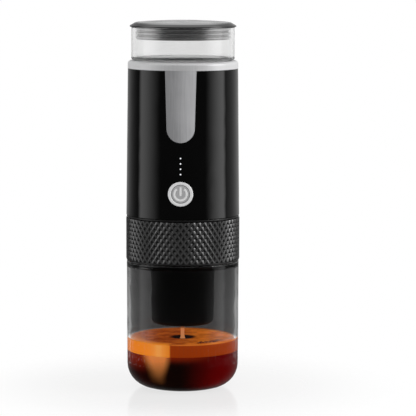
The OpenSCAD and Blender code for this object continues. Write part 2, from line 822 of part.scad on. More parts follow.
// Ring round the button, held from inside by its flange
module button_bezel() {
    bore = bezel_r - bezel_w;
    color("silver") front_turned(button_z, [
        [bore, bezel_in_y, 0],
        [bezel_flange_r, bezel_in_y, 0],
        [bezel_flange_r, bezel_flange_y, 0],
        [bezel_r, bezel_flange_y, 0],
        [bezel_r, bezel_y, 0.7],
        [bore, bezel_y, 0.4]
    ]);
}

// Cap with a flange behind the bezel that keeps it in
module button_cap() {
    flange_r = bezel_r - bezel_w / 2;
    color("lightgray") front_turned(button_z, [
        [0, cap_in_y, 0],
        [flange_r, cap_in_y, 0],
        [flange_r, cap_flange_y, 0],
        [cap_r, cap_flange_y, 0],
        [cap_r, cap_y, 0.4],
        [0, cap_y, 0]
    ]);
}

// Metal shell of the socket with the contact tongue inside
module charging_socket() {
    mouth = [socket_w - 2 * socket_t, socket_h - 2 * socket_t];
    back = 1.2;
    tongue_h = 0.7;
    color("silver") translate([0, board_y, port_z]) rotate([-90, 0, 0]) {
        difference() {
            linear_extrude(socket_len) round_rectangle(socket_w, socket_h, socket_h / 2 - eps);
            translate([0, 0, back]) linear_extrude(far)
                round_rectangle(mouth.x, mouth.y, mouth.y / 2 - eps);
        }
        translate([-mouth.x / 2 + 1, -tongue_h / 2, back - eps])
            cube([mouth.x - 2, tongue_h, socket_len - back - 1]);
    }
}

module inlet_hose() {
    color("whitesmoke") tube(hose_r, outlet_r + seat, hose_z0, hose_z1);
}

// Upper end of the pump, with the barb that the hose is pushed on
module pump_top() {
    inside_z = pump_cylinder_z1 + face_gap;
    color("black") difference() {
        union() {
            disc(pump_r, pump_coil_z1 + face_gap, pump_top_z1);
            disc(outlet_r, pump_top_z1 - eps, pump_top_z1 + barb_len);
        }
        disc(pump_cylinder_r + seat, pump_coil_z1, inside_z);
        disc(outlet_bore_r, inside_z - eps, pump_top_z1 + barb_len + eps);
    }
}

module pump_frame() {
    color("slategray")
        tube(pump_r, pump_r - pump_frame_t, pump_coil_z0 + face_gap, pump_coil_z1);
}

module pump_coil() {
    color("peru") tube(pump_r - pump_frame_t - seat, pump_cylinder_r + seat,
        pump_coil_z0 + face_gap, pump_coil_z1);
}

module pump_cylinder() {
    color("gold") tube(pump_cylinder_r, pump_bore_r, pump_cylinder_z0 + face_gap, pump_cylinder_z1);
}

module pump_plunger() {
    color("lightgray")
        tube(pump_bore_r - seat, plunger_hole_r, plunger_z0, plunger_z0 + plunger_len);
}

module plunger_spring() {
    color("silver") coil(pump_bore_r - slip - wire_r, plunger_turns,
        pump_cylinder_z0 + face_gap, plunger_z0 - face_gap);
}

// Lower end of the pump: seat of the check valve, its room and the outlet tube
module pump_base() {
    color("black") difference() {
        union() {
            disc(pump_r, pump_z0, pump_coil_z0);
            disc(outlet_r, outlet_z0, pump_z0 + eps);
        }
        disc(pump_cylinder_r + seat, pump_cylinder_z0, pump_coil_z0 + eps);
        disc(valve_port_r, pump_cylinder_z0 - valve_plate - eps, pump_cylinder_z0 + eps);
        disc(valve_room_r, valve_room_z0, pump_cylinder_z0 - valve_plate);
        disc(outlet_bore_r, outlet_z0 - eps, valve_room_z0 + eps);
    }
}

module check_ball() {
    color("silver") translate([0, 0, ball_z]) sphere(r = ball_r);
}

module valve_spring() {
    color("silver") coil(valve_room_r - seat - wire_r, valve_turns,
        valve_room_z0 + face_gap, ball_z - chord(ball_r, valve_room_r - seat - 2 * wire_r) - face_gap);
}

// Sleeve of silicone that seals the pump's outlet into the brew head
module outlet_seal() {
    color("lightgray")
        tube(outlet_seal_r, outlet_r + seat, head_floor_z1, low_plate_z1 - face_gap);
}

// Bucket that closes the sleeve from below and screws into the grip ring
module brew_head() {
    flange_z1 = sleeve_z0 + head_flange_t;
    flange_r = sleeve_in_r(flange_z1) - seat;
    rim_r = sleeve_low_r - head_rim_inset;
    shower_z1 = head_z0 + shower_recess;
    color([0.08, 0.08, 0.08]) difference() {
        turned([
            [0, head_z0, 0],
            [neck_r, head_z0, 0.8],
            [neck_r, head_rim_z0, 0],
            [rim_r, head_rim_z0, 0.3],
            [rim_r, head_rim_z1, 0.3],
            [flange_r, head_rim_z1, 0],
            [flange_r, flange_z1, 0],
            [head_in_r, flange_z1, 0],
            [head_in_r, head_floor_z1, 0],
            [0, head_floor_z1, 0]
        ]);
        disc(shower_r + seat, head_z0 - eps, shower_z1);
        disc(outlet_bore_r, shower_z1 - eps, head_floor_z1 + eps);
        disc(outlet_r + seat, outlet_z0 - seat, head_floor_z1 + eps);
        at_posts() {
            disc(screw_r + seat, head_z0 - eps, head_floor_z1 + eps);
            disc(screw_head_r + seat, head_z0 - eps, head_z0 + screw_head_h + seat);
        }
    }
}

module head_screws() {
    color("silver") at_posts() {
        head_z1 = head_z0 + screw_head_h;
        difference() {
            disc(screw_head_r, head_z0 + seat, head_z1 + seat);
            rotate(30) translate([0, 0, head_z0]) cylinder(r = screw_r, h = screw_head_h / 2, $fn = 6);
        }
        disc(screw_r, head_z1, head_floor_z1 + screw_len - face_gap);
    }
}

// Shallow perforated cup that spreads the water over the coffee
module shower_screen() {
    rim = 0.8;
    z0 = head_z0 + seat;
    color("silver") difference() {
        disc(shower_r, z0, head_z0 + shower_recess - face_gap);
        disc(shower_r - rim, z0 + screen_t, head_z0 + shower_recess);
        screen_holes(z0, z0 + screen_t);
    }
}

module brew_seal() {
    color("lightgray")
        tube(basket_rim_r, basket_in_r, brew_seal_z0, brew_seal_z0 + brew_seal_t);
}

// Grip ring, web and barrel in one moulding: the basket hangs in the barrel
module brew_chamber() {
    bore_z0 = basket_z0 - 1;
    throat_z = barrel_z0 + spout_h;
    color([0.06, 0.06, 0.06]) turned([
        [spout_r, barrel_z0, 0.4],
        [barrel_r - barrel_draft, barrel_z0, barrel_corner_r],
        [barrel_r, web_z0, 0.8],
        [socket_r, web_z0, 0],
        [socket_r, ring_z0, 0.3],
        [grip_r - ring_lip_inset, ring_z0, 0.2],
        [grip_r - ring_lip_inset, band_z0, 0.2],
        [ring_r, band_z0, 0],
        [ring_r, ring_z1, 0.4],
        [socket_r, ring_z1, 0.4],
        [socket_r, web_z1, 0],
        [barrel_bore_r, web_z1, 0],
        [barrel_bore_r, bore_z0, 0],
        [barrel_bore_r - basket_ledge, bore_z0, 0],
        [spout_r, throat_z, 1]
    ]);
}

// Band with a net of raised ridges round diamond pits
module grip_band() {
    around = 2 * grip_columns;
    up = 2 * grip_rows;
    bore = ring_r + seat;
    z0 = band_z0 + face_gap;
    rise = (grip_h - face_gap) / up;
    function at(i, r, z) = [r * cos(360 * i / around), r * sin(360 * i / around), z];
    // A point of the lattice lies on a crossing of ridges or at the middle of a pit
    function on_ridge(i, k) = (i + k) % 2 == 0;
    function outer(i, k) = k * around + i % around;
    function inner(i, k) = (up + 1 + k) * around + i % around;
    points = [
        for (k = [0:up], i = [0:around - 1])
            at(i, on_ridge(i, k) ? grip_r : grip_r - grip_depth, z0 + k * rise),
        for (k = [0, 1], i = [0:around - 1])
            at(i, bore / cos(180 / around), z0 + k * up * rise)
    ];
    faces = [
        for (k = [0:up - 1], i = [0:around - 1])
            let(a = outer(i, k), b = outer(i + 1, k), c = outer(i + 1, k + 1), d = outer(i, k + 1))
                each on_ridge(i, k) ? [[a, c, b], [a, d, c]] : [[a, d, b], [b, d, c]],
        for (i = [0:around - 1])
            let(a = inner(i, 0), b = inner(i + 1, 0), c = inner(i + 1, 1), d = inner(i, 1))
                each [[a, b, c], [a, c, d]],
        for (i = [0:around - 1])
            let(a = inner(i, 0), b = inner(i + 1, 0), c = outer(i + 1, 0), d = outer(i, 0))
                each [[a, c, b], [a, d, c]],
        for (i = [0:around - 1])
            let(a = inner(i, 1), b = inner(i + 1, 1), c = outer(i + 1, up), d = outer(i, up))
                each [[a, b, c], [a, c, d]]
    ];
    color([0.13, 0.13, 0.13]) polyhedron(points, faces);
}

module basket() {
    color("lightsteelblue") difference() {
        turned([
            [0, basket_z0, 0],
            [basket_r, basket_z0, 1 + basket_t],
            [basket_r, web_z1, 0],
            [basket_rim_r, web_z1, 0],
            [basket_rim_r, basket_rim_z1, 0],
            [basket_in_r, basket_rim_z1, 0.4],
            [basket_in_r, basket_z0 + basket_t, 1],
            [0, basket_z0 + basket_t, 0]
        ]);
        for (k = [0:2], i = [0:max(6 * k, 1) - 1])
            rotate(i * 360 / max(6 * k, 1))
                translate([k * drain_pitch, 0, 0]) disc(drain_r, basket_z0 - eps, basket_z0 + basket_t + eps);
    }
}

module basket_screen() {
    z0 = basket_z0 + basket_t + face_gap;
    color("silver") difference() {
        disc(basket_in_r - 1, z0, z0 + screen_t);
        screen_holes(z0, z0 + screen_t);
    }
}

module cup_seal() {
    color("lightgray") tube(neck_r, neck_r - cup_neck_wall, cup_neck_z + face_gap, web_z0);
}

module cup() {
    neck_in_r = neck_r - cup_neck_wall;
    shoulder_z = cup_h - cup_wall;
    color([0.35, 0.35, 0.36, 0.5]) turned([
        [0, 0, 0],
        [cup_low_r, 0, cup_corner_r],
        [cup_top_r, cup_h, 0.8],
        [neck_r, cup_h, 0],
        [neck_r, cup_neck_z, 0.6],
        [neck_in_r, cup_neck_z, 0.6],
        [neck_in_r, shoulder_z, 1],
        [cup_top_r - cup_wall, shoulder_z - 0.8, 1.6],
        [cup_low_r - cup_wall, cup_floor, cup_corner_r - cup_wall],
        [0, cup_floor, 0]
    ]);
}

lid_cap();
lid_seal();
water_tank();
tank_seal();
collar();
outer_sleeve();
heating_cup();
heater();
thermostat();
heater_carrier();
chassis();
left_cell();
right_cell();
control_board();
light_chips();
light_guide();
push_switch();
switch_plunger();
button_cap();
button_bezel();
charging_board();
charging_socket();
port_cover();
inlet_hose();
pump_top();
pump_frame();
pump_coil();
pump_cylinder();
pump_plunger();
plunger_spring();
pump_base();
check_ball();
valve_spring();
outlet_seal();
brew_head();
head_screws();
shower_screen();
brew_seal();
brew_chamber();
grip_band();
basket();
basket_screen();
cup_seal();
cup();
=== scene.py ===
"""Looks of a portable espresso maker: finishes, fine pieces, coffee in the cup, studio and camera.

Pieces are in metres and finishes in millimetres, with the axis along Z, the cup's underside at z = 0
and the front facing -Y.
"""
import math
import random

import bpy
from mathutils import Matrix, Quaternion, Vector


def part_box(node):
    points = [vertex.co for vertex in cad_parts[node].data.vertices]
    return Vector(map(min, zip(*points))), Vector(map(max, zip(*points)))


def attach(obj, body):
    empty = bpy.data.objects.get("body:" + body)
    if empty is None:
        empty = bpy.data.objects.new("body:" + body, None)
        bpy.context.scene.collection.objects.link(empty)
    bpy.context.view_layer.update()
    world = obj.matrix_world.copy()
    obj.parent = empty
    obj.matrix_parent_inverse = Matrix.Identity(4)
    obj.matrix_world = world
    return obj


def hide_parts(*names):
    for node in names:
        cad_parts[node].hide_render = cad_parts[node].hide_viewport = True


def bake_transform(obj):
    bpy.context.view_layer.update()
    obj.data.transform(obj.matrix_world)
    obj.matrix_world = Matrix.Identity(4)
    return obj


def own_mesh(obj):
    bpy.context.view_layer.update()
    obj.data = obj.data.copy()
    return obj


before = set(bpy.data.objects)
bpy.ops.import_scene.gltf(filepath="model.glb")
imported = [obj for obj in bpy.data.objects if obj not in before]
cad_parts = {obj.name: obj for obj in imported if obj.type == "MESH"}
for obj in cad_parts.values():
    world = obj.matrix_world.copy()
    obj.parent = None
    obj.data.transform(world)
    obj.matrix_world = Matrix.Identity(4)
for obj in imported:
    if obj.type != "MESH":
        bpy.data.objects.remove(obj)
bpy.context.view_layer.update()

MM = 0.001
COFFEE_TOP = 24.1 * MM
CREMA_TOP = 32.2 * MM


# Wires and benches: node trees written as sums

class Wire:
    """An output socket that takes part in sums: each operator lays a Math node."""

    def __init__(self, bench, socket):
        self.bench = bench
        self.socket = socket

    def math(self, operation, *values):
        return self.bench.add("ShaderNodeMath", {"operation": operation}, dict(enumerate(values)))

    def __add__(self, other):
        return self.math("ADD", self, other)

    def __radd__(self, other):
        return self.math("ADD", other, self)

    def __sub__(self, other):
        return self.math("SUBTRACT", self, other)

    def __rsub__(self, other):
        return self.math("SUBTRACT", other, self)

    def __mul__(self, other):
        return self.math("MULTIPLY", self, other)

    def __rmul__(self, other):
        return self.math("MULTIPLY", other, self)

    def __truediv__(self, other):
        return self.math("DIVIDE", self, other)

    def __rtruediv__(self, other):
        return self.math("DIVIDE", other, self)

    def __pow__(self, other):
        return self.math("POWER", self, other)

    def __neg__(self):
        return self.math("MULTIPLY", self, -1)

    def __abs__(self):
        return self.math("ABSOLUTE", self)

    def most(self, other):
        return self.math("MAXIMUM", self, other)

    def ramp(self, low, high, start=0, end=1):
        """Smooth change from start to end while the value goes from low to high."""
        return self.bench.add(
            "ShaderNodeMapRange",
            {"interpolation_type": "SMOOTHSTEP"},
            {"Value": self, "From Min": low, "From Max": high, "To Min": start, "To Max": end})

    def bell(self, middle, width):
        """One at the middle, falling to about a third at one width from it."""
        away = (self - middle) / width
        return 1 / (1 + 2 * away * away)

    def spread(self, start, end):
        """Noise, most of which lies between 0.3 and 0.7, stretched to go from start to end."""
        return self.ramp(0.3, 0.7, start, end)

    def fraction(self):
        """What is left over a whole number."""
        return self.math("FRACT", self)


class Bench:
    """A node tree, with one method that lays any node."""

    def __init__(self, tree):
        self.tree = tree
        tree.nodes.clear()

    def add(self, kind, settings=None, sockets=None, out=0):
        node = self.tree.nodes.new(kind)
        for name, value in (settings or {}).items():
            setattr(node, name, value)
        for name, value in (sockets or {}).items():
            if isinstance(value, Wire):
                self.tree.links.new(value.socket, node.inputs[name])
            else:
                node.inputs[name].default_value = value
        return Wire(self, node.outputs[out]) if node.outputs else node

    def blend(self, factor, low, high):
        """Colour between two colours."""
        return self.add("ShaderNodeMix", {"data_type": "RGBA"}, {0: factor, 6: low, 7: high}, out=2)

    def place(self):
        return self.add("ShaderNodeTexCoord", out="Object")

    def axes(self):
        """x, y and z on the piece, in millimetres."""
        place = self.place()
        split = [self.add("ShaderNodeSeparateXYZ", {}, {0: place}, out=i) for i in range(3)]
        return [axis / MM for axis in split]

    def radius(self):
        """Distance from the axis, in millimetres."""
        x, y, _ = self.axes()
        return (x * x + y * y) ** 0.5

    def bearing(self):
        """Angle about the axis in degrees: 0 at the front, positive towards +X."""
        x, y, _ = self.axes()
        return x.math("ARCTAN2", x, -y) * (180 / math.pi)

    def grain(self, size, stretch=(1, 1, 1), detail=3, roughness=0.5):
        """Noise between 0 and 1, with its coarsest grain of a size in millimetres."""
        stretched = self.add(
            "ShaderNodeVectorMath", {"operation": "MULTIPLY"}, {0: self.place(), 1: stretch})
        return self.add(
            "ShaderNodeTexNoise", {},
            {"Vector": stretched, "Scale": 1 / (size * MM), "Detail": detail, "Roughness": roughness})

    def lines(self, along, number):
        """Noise that changes along a distance only, with about a number of lines to a millimetre."""
        return self.add(
            "ShaderNodeTexNoise", {"noise_dimensions": "1D"},
            {"W": along, "Scale": number, "Detail": 3})

    def bump(self, height, depth, strength=1.0):
        """Normal of a surface with that height, with its depth in millimetres."""
        return self.add(
            "ShaderNodeBump", {}, {"Height": height, "Distance": depth * MM, "Strength": strength})

    def finish(self, shader, kind="ShaderNodeOutputMaterial"):
        self.add(kind, {}, {"Surface": shader})

    def principled(self, **values):
        """Surface with the shader's inputs given by name, underscores for spaces."""
        named = {name.replace("_", " "): value for name, value in values.items()}
        self.finish(self.add("ShaderNodeBsdfPrincipled", {}, named))


def srgb(r, g, b):
    """Colour of 0 to 255 as it looks on a screen."""
    def straight(c):
        c /= 255
        return c / 12.92 if c <= 0.04045 else ((c + 0.055) / 1.055) ** 2.4
    return (straight(r), straight(g), straight(b), 1)


def grey(level):
    return (level, level, level, 1)


FINISHES = {}


def finish_named(make):
    """Makes each finish once, under the name of its function."""
    def made():
        name = make.__name__
        if name not in FINISHES:
            FINISHES[name] = bpy.data.materials.new(name)
            FINISHES[name].use_nodes = True
            make(Bench(FINISHES[name].node_tree))
        return FINISHES[name]
    return made


# Finishes

@finish_named
def gloss_black(b):
    haze = b.grain(9, detail=4)
    b.principled(
        Base_Color=b.blend(haze, grey(0.0012), grey(0.0026)),
        Roughness=haze.ramp(0.3, 0.8, 0.05, 0.075),
        IOR=1.52)


@finish_named
def matt_black(b):
    texture = b.grain(0.5, detail=2)
    cloud = b.grain(14)
    b.principled(
        Base_Color=b.blend(cloud, grey(0.006), grey(0.011)),
        Roughness=cloud.spread(0.30, 0.38),
        Normal=b.bump(texture, 0.02, 0.3))


@finish_named
def grip_rubber(b):
    """Dark rubber, with painted shade that makes its pits near black, and paler ridges."""
    texture = b.grain(0.35, detail=2)
    cloud = b.grain(11)
    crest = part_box("grip_band")[1].x / MM
    # Painted shade: the pits are coloured near black, and the ridges keep the rubber's grey.
    clear_of_pit_shade = b.radius().ramp(crest - 0.42, crest - 0.04)
    b.principled(
        Base_Color=b.blend(clear_of_pit_shade, grey(0.005), b.blend(cloud, grey(0.042), grey(0.055))),
        Roughness=cloud.spread(0.17, 0.24),
        IOR=1.9,
        Normal=b.bump(texture, 0.01, 0.15))


@finish_named
def satin_silver(b):
    """Brushed metal: a tongue with painted shade on its left and painted light on its right, a paler
    ring with painted highlights towards both sides, a polished bore under the tank.
    """
    x, _, z = b.axes()
    bore = b.radius().ramp(31.9, 31.5)
    hair = b.grain(0.7, stretch=(1, 1, 0.03), detail=4, roughness=0.6)
    cloud = b.grain(16)
    shade = (hair * 0.6 + cloud * 0.4).ramp(0.25, 0.75)
    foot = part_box("outer_sleeve")[1].z / MM
    ring = z.ramp(foot, foot + 0.4)
    # Painted light: the tongue's colour goes from shade on the left to light on the right, mixed with
    # its brushing.
    brushing_and_painted_light = (shade * 0.35 + x.ramp(-11, 11) * 0.65).ramp(0, 1)
    on_tongue = b.blend(brushing_and_painted_light, srgb(150, 150, 152), srgb(204, 204, 206))
    on_ring = b.blend(shade, srgb(214, 214, 215), srgb(228, 228, 229))
    # Painted highlights: the ring is coloured paler towards both sides.
    on_ring = b.blend(abs(x).ramp(23, 35), on_ring, srgb(247, 247, 248))
    b.principled(
        Base_Color=b.blend(ring, on_tongue, on_ring),
        Metallic=ring.ramp(0, 1, 0.1, 0.3).most(bore),
        Roughness=shade.ramp(0, 1, 0.40, 0.50) - bore * 0.3,
        Normal=b.bump(hair, 0.01, 0.2))


@finish_named
def bright_chrome(b):
    cloud = b.grain(2.5)
    b.principled(
        Base_Color=b.blend(cloud, srgb(250, 250, 250), srgb(254, 254, 255)),
        Metallic=0.04,
        Roughness=cloud.spread(0.18, 0.26))


@finish_named
def button_silver(b):
    cloud = b.grain(0.3, detail=3)
    b.principled(
        Base_Color=b.blend(cloud, srgb(200, 200, 201), srgb(216, 216, 217)),
        Metallic=0.2,
        Roughness=cloud.spread(0.34, 0.44),
        Normal=b.bump(cloud, 0.01, 0.2))


@finish_named
def sign_silver(b):
    cloud = b.grain(0.6)
    b.principled(
        Base_Color=b.blend(cloud, srgb(250, 250, 250), srgb(254, 254, 254)),
        Roughness=cloud.spread(0.28, 0.36))


@finish_named
def lid_grey(b):
    """Dark plastic, with painted shade on the brim and a painted sheen on top that grows towards the
    front.
    """
    _, y, z = b.axes()
    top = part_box("lid_cap")[1].z / MM
    crown = z.ramp(top - 2.3, top - 1.6)
    cloud = b.grain(12)
    texture = b.grain(0.5, detail=2)
    # Painted shade on the brim, and a painted sheen on the crown that is strongest at the front.
    brim_painted_shade = b.blend(cloud, grey(0.004), grey(0.007))
    crown_painted_sheen = b.blend(y.ramp(6, -33) ** 2, grey(0.03), grey(0.44))
    b.principled(
        Base_Color=b.blend(crown, brim_painted_shade, crown_painted_sheen),
        Roughness=cloud.spread(0.20, 0.27),
        IOR=1.9,
        Normal=b.bump(texture, 0.01, 0.15))


@finish_named
def seal_grey(b):
    cloud = b.grain(3)
    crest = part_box("lid_seal")[1].x / MM
    # Painted shade: the grooves between the ribs are coloured darker.
    groove_painted_shade = b.radius().ramp(crest - 0.1, crest - 0.6)
    b.principled(
        Base_Color=b.blend(groove_painted_shade, b.blend(cloud, grey(0.60), grey(0.68)), grey(0.44)),
        Metallic=0.85,
        Roughness=cloud.spread(0.20, 0.26))


@finish_named
def pale_silicone(b):
    cloud = b.grain(2.5)
    b.principled(
        Base_Color=b.blend(cloud, srgb(205, 206, 204), srgb(221, 222, 220)),
        Roughness=cloud.spread(0.42, 0.52))


@finish_named
def clear_plastic(b):
    """Clear, with a frosted seat where the tank meets the collar."""
    _, _, z = b.axes()
    cloud = b.grain(20)
    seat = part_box("collar")[1].z / MM
    frost = z.ramp(seat + 2.2, seat + 1.4)
    b.principled(
        Base_Color=b.blend(frost, b.blend(cloud, grey(0.885), grey(0.905)), grey(0.98)),
        Roughness=cloud.spread(0.0, 0.012) + frost * 0.75,
        IOR=1.49,
        Transmission_Weight=1)


@finish_named
def smoke_plastic(b):
    """Smoke above the foam, deeper on the inner face; clear below, tinged with coffee at the foot.

    The smoke starts higher at the front, so that the foam is seen through a clear wall.
    """
    _, y, z = b.axes()
    smoke_foot = 31.2 + (y * -0.36).most(0)
    smoky = (z - smoke_foot).ramp(-0.7, 0.7)
    outer_face = b.radius().ramp(34.7, 35.1)
    higher = z.ramp(50, 74)
    inner = b.blend(higher, grey(0.128), grey(0.16))
    outer = b.blend(higher, grey(0.36), grey(0.25))
    clear = b.blend(z.ramp(4.5, 1.5), grey(0.93), srgb(132, 52, 48))
    cloud = b.grain(22)
    b.principled(
        Base_Color=b.blend(smoky, clear, b.blend(outer_face, inner, outer)),
        Roughness=cloud.spread(0.0, 0.014),
        IOR=1.49,
        Transmission_Weight=1)


@finish_named
def spun_steel(b):
    _, _, z = b.axes()
    rings = b.lines(b.radius() + z, 4)
    b.principled(
        Base_Color=b.blend(rings, srgb(168, 170, 173), srgb(196, 198, 200)),
        Metallic=1.0,
        Roughness=rings.spread(0.22, 0.34))


@finish_named
def spring_wire(b):
    cloud = b.grain(0.8)
    b.principled(
        Base_Color=b.blend(cloud, srgb(150, 152, 155), srgb(186, 188, 190)),
        Metallic=1.0,
        Roughness=cloud.spread(0.2, 0.32))


@finish_named
def moulded_nylon(b):
    cloud = b.grain(8)
    texture = b.grain(0.6, detail=2)
    b.principled(
        Base_Color=b.blend(cloud, grey(0.028), grey(0.042)),
        Roughness=cloud.spread(0.46, 0.56),
        Normal=b.bump(texture, 0.02, 0.3))


@finish_named
def cell_wrap(b):
    _, _, z = b.axes()
    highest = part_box("left_cell")[1].z / MM
    cap = z.ramp(highest - 1.2, highest - 0.9)
    rim = z.bell(highest - 2.2, 0.4)
    cloud = b.grain(5)
    wrap = b.blend(cloud, srgb(38, 78, 128), srgb(48, 92, 146))
    b.principled(
        Base_Color=b.blend(cap, b.blend(rim, wrap, srgb(226, 228, 226)), srgb(190, 190, 190)),
        Metallic=cap * 0.9,
        Roughness=cloud.spread(0.3, 0.38))


@finish_named
def circuit_green(b):
    x, _, z = b.axes()
    track_x = abs((x * 0.62).fraction() - 0.5).ramp(0.36, 0.40)
    track_z = abs((z * 0.34).fraction() - 0.5).ramp(0.38, 0.42)
    region = b.grain(5, detail=1).ramp(0.45, 0.55)
    tracks = track_x * region + track_z * (1 - region)
    mottle = b.grain(0.5)
    board = b.blend(mottle, srgb(18, 70, 40), srgb(22, 80, 46))
    b.principled(
        Base_Color=b.blend(tracks, board, srgb(48, 116, 62)),
        Roughness=tracks.ramp(0, 1, 0.34, 0.42),
        Normal=b.bump(tracks, 0.04, 0.6))


@finish_named
def milky_plastic(b):
    cloud = b.grain(0.6)
    b.principled(
        Base_Color=b.blend(cloud, srgb(228, 230, 230), srgb(242, 244, 244)),
        Roughness=cloud.spread(0.34, 0.44))


LIGHT_PITCH = 3.4   # mm from one light to the next


@finish_named
def dot_white(b):
    """Milky light guide, lit in the middle of each of its four dots."""
    x, _, z = b.axes()
    low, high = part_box("light_guide")
    middle = (low.z + high.z) / 2 / MM
    share = (z - middle) / LIGHT_PITCH
    off_z = (share.fraction() - 0.5) * LIGHT_PITCH
    lit = ((x * x + off_z * off_z) ** 0.5).ramp(0.58, 0.24)
    cloud = b.grain(0.6)
    milky = b.blend(cloud, srgb(236, 240, 246), srgb(248, 250, 252))
    b.principled(
        Base_Color=b.blend(lit, grey(0.006), milky),
        Roughness=cloud.spread(0.32, 0.38),
        Emission_Color=b.blend(lit, grey(0), b.blend(cloud, (0.88, 0.93, 1, 1), grey(1))),
        Emission_Strength=0.7)


@finish_named
def wound_copper(b):
    _, _, z = b.axes()
    turn = abs((z * 2.2).fraction() - 0.5) * 2
    cloud = b.grain(3)
    b.principled(
        Base_Color=b.blend(cloud * 0.5 + turn * 0.5, srgb(150, 74, 38), srgb(196, 108, 62)),
        Metallic=0.85,
        Roughness=cloud.spread(0.28, 0.38),
        Normal=b.bump(turn, 0.12, 0.8))


@finish_named
def turned_brass(b):
    _, _, z = b.axes()
    rings = b.lines(z, 5)
    b.principled(
        Base_Color=b.blend(rings, srgb(188, 150, 82), srgb(214, 178, 108)),
        Metallic=1.0,
        Roughness=rings.spread(0.22, 0.34))


@finish_named
def cast_heater(b):
    speckle = b.grain(0.7, detail=4)
    b.principled(
        Base_Color=b.blend(speckle, srgb(120, 120, 118), srgb(160, 160, 158)),
        Metallic=0.8,
        Roughness=speckle.spread(0.42, 0.58),
        Normal=b.bump(speckle, 0.05, 0.5))


def wet(b, colour, roughness):
    """Something that wets the cup's wall: it has no gloss of its own, and a painted glow stands in for
    the light in it.
    """
    b.principled(
        Base_Color=colour,
        Roughness=roughness,
        Specular_IOR_Level=0,
        # Painted glow: the contents give off their own colour as light.
        Emission_Color=colour,
        Emission_Strength=0.5)


@finish_named
def coffee_dark(b):
    """Black in the middle, with painted light: red on the right where light comes through, a pale
    painted sheen down the left, a painted glow under the foam.
    """
    bearing = b.bearing()
    _, _, z = b.axes()
    surface = COFFEE_TOP / MM
    # Painted light: red towards the right; the left edge is painted dark below and red higher up.
    body = b.blend(bearing.ramp(-2, 50), srgb(16, 4, 2), srgb(92, 2, 3))
    left_edge = b.blend(z.ramp(11, 22), srgb(30, 3, 2), srgb(118, 28, 10))
    body = b.blend(bearing.ramp(-30, -48), body, left_edge)
    body = b.blend(abs(bearing).ramp(80, 150), body, srgb(64, 5, 4))
    # Painted glow just under the foam, on the front and the left.
    painted_glow_under_foam = z.ramp(surface - 9, surface) ** 4 * bearing.ramp(45, 5)
    body = b.blend(painted_glow_under_foam, body, srgb(118, 31, 8))
    # Painted sheen: a pale band down the left, narrower and fainter towards the bottom.
    narrowing = z.ramp(6, 23, 4, -2)
    widening = z.ramp(12, 24, 0, 8)
    band = (bearing + widening).ramp(-41, -24) * (bearing + narrowing).ramp(-11, -21)
    sheen = band * z.ramp(4.4, 27.4)
    wet(b, b.blend(sheen, body, srgb(242, 151, 80)), 0.2)


@finish_named
def crema_gold(b):
    """Orange foam, with painted light: lit on the left with a painted sheen, a painted highlight on the
    front left of its top; dark in the dip where the stream falls in.
    """
    bearing = b.bearing()
    radius = b.radius()
    x, _, z = b.axes()
    surface = CREMA_TOP / MM
    swirl = b.grain(7, detail=5, roughness=0.6)
    patches = swirl.spread(0, 1)
    # Painted light: a painted sheen on the left of the side, which is painted lit on the left and
    # shaded on the right.
    left_side_painted_sheen = b.blend(bearing.bell(-24, 8), srgb(250, 142, 34), srgb(255, 176, 88))
    lit = bearing.ramp(-10, -13) * bearing.ramp(-150, -100)
    side = b.blend(lit, srgb(160, 60, 13), left_side_painted_sheen)
    left_top = b.blend(patches, srgb(158, 62, 10), srgb(204, 100, 30))
    right_top = b.blend(patches, srgb(204, 98, 18), srgb(244, 136, 40))
    top = b.blend(x.ramp(-6, 14), left_top, right_top)
    rim = radius.ramp(32.6, 33.6)
    top = b.blend(rim * 0.5, top, srgb(222, 128, 54))
    # Painted light on the front left of the top.
    front_left_painted_light = radius.ramp(23, 33.5) * bearing.ramp(-10, -16) * bearing.ramp(-105, -70)
    top = b.blend(front_left_painted_light, top, srgb(250, 146, 46))
    foam = b.blend(z.ramp(surface - 0.6, surface - 0.2), side, top)
    dip = radius.ramp(10.5, 6.0)
    wet(b, b.blend(dip, foam, srgb(22, 4, 1)), swirl.spread(0.38, 0.52))


@finish_named
def coffee_stream(b):
    streak = b.grain(1.1, stretch=(1, 1, 0.12))
    colour = b.blend(streak, srgb(244, 150, 92), srgb(255, 172, 112))
    wet(b, colour, streak.spread(0.16, 0.28))


@finish_named
def foam_bubble(b):
    """Dark brown with painted highlights in patches, and painted lighter towards the wall on the right.
    """
    x, _, _ = b.axes()
    cloud = b.grain(0.8)
    # Painted highlights in patches, and painted lighter towards the wall on the right.
    pale = cloud.ramp(0.48, 0.72).most(x.ramp(20, 29) * 0.8)
    wet(b, b.blend(pale, srgb(66, 18, 4), srgb(230, 136, 72)), cloud.spread(0.08, 0.16))


CAD_FINISHES = {
    lid_grey: ["lid_cap"],
    seal_grey: ["lid_seal"],
    clear_plastic: ["water_tank"],
    pale_silicone: ["tank_seal", "outlet_seal", "brew_seal", "cup_seal", "inlet_hose"],
    satin_silver: ["collar"],
    gloss_black: ["outer_sleeve"],
    matt_black: ["brew_chamber", "brew_head", "port_cover", "push_switch", "pump_top", "pump_base"],
    grip_rubber: ["grip_band"],
    spun_steel: [
        "heating_cup", "basket", "basket_screen", "shower_screen", "head_screws", "charging_socket",
        "pump_frame", "pump_plunger", "check_ball", "thermostat"],
    spring_wire: ["plunger_spring", "valve_spring"],
    moulded_nylon: ["chassis", "heater_carrier"],
    cell_wrap: ["left_cell", "right_cell"],
    circuit_green: ["control_board", "charging_board"],
    dot_white: ["light_guide"],
    milky_plastic: ["light_chips", "switch_plunger"],
    button_silver: ["button_cap"],
    bright_chrome: ["button_bezel"],
    wound_copper: ["pump_coil"],
    turned_brass: ["pump_cylinder"],
    cast_heater: ["heater"],
    smoke_plastic: ["cup"],
}


WELD_REACH = 0.002 * MM


